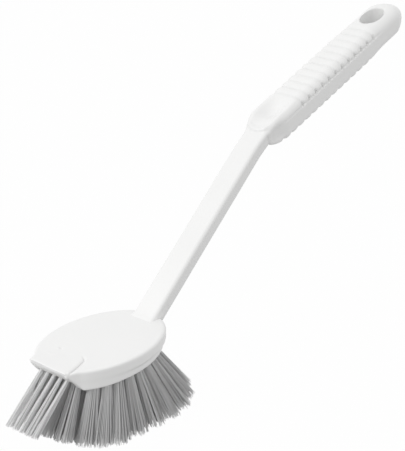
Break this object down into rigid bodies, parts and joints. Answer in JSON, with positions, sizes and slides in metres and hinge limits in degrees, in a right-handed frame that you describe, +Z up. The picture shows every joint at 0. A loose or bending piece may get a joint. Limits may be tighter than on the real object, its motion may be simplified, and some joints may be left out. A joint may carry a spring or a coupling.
{
  "type": "pot brush",
  "caption": "Pot brush with a ribbed grip, a slanted neck and an oval head of flared bristles with a scraper edge at its front.",
  "frame": {"origin": "middle of the flat top of the oval head", "axes": "+Z up, square to the head's top; +X along the head, from the scraper edge to the grip; +Y across the head"},
  "size_m": [0.2843, 0.0614, 0.1433],
  "materials": {
    "white_polypropylene": "satin moulded, white",
    "polyester_filament": "semi-clear pale filament",
    "anchor_steel": "bright stainless strip"
  },
  "bodies": {
    "root": {"handle": "white_polypropylene", "bristles_front": "polyester_filament", "bristles_outer": "polyester_filament", "bristles_middle": "polyester_filament", "bristles_inner": "polyester_filament", "anchor_01": "anchor_steel", "anchor_02": "anchor_steel", "anchor_03": "anchor_steel", "anchor_04": "anchor_steel", "anchor_05": "anchor_steel", "anchor_06": "anchor_steel", "anchor_07": "anchor_steel", "anchor_08": "anchor_steel", "anchor_09": "anchor_steel", "anchor_10": "anchor_steel", "anchor_11": "anchor_steel", "anchor_12": "anchor_steel", "anchor_13": "anchor_steel", "anchor_14": "anchor_steel", "anchor_15": "anchor_steel", "anchor_16": "anchor_steel", "anchor_17": "anchor_steel", "anchor_18": "anchor_steel", "anchor_19": "anchor_steel", "anchor_20": "anchor_steel", "anchor_21": "anchor_steel", "anchor_22": "anchor_steel", "anchor_23": "anchor_steel", "anchor_24": "anchor_steel", "anchor_25": "anchor_steel", "anchor_26": "anchor_steel", "anchor_27": "anchor_steel", "anchor_28": "anchor_steel", "anchor_29": "anchor_steel", "anchor_30": "anchor_steel", "anchor_31": "anchor_steel", "anchor_32": "anchor_steel", "anchor_33": "anchor_steel", "anchor_34": "anchor_steel", "anchor_35": "anchor_steel", "anchor_36": "anchor_steel", "anchor_37": "anchor_steel", "anchor_38": "anchor_steel", "anchor_39": "anchor_steel", "anchor_40": "anchor_steel", "anchor_41": "anchor_steel", "anchor_42": "anchor_steel", "anchor_43": "anchor_steel", "anchor_44": "anchor_steel", "anchor_45": "anchor_steel", "anchor_46": "anchor_steel", "anchor_47": "anchor_steel", "anchor_48": "anchor_steel", "anchor_49": "anchor_steel", "anchor_50": "anchor_steel", "anchor_51": "anchor_steel"}
  },
  "joints": []
}
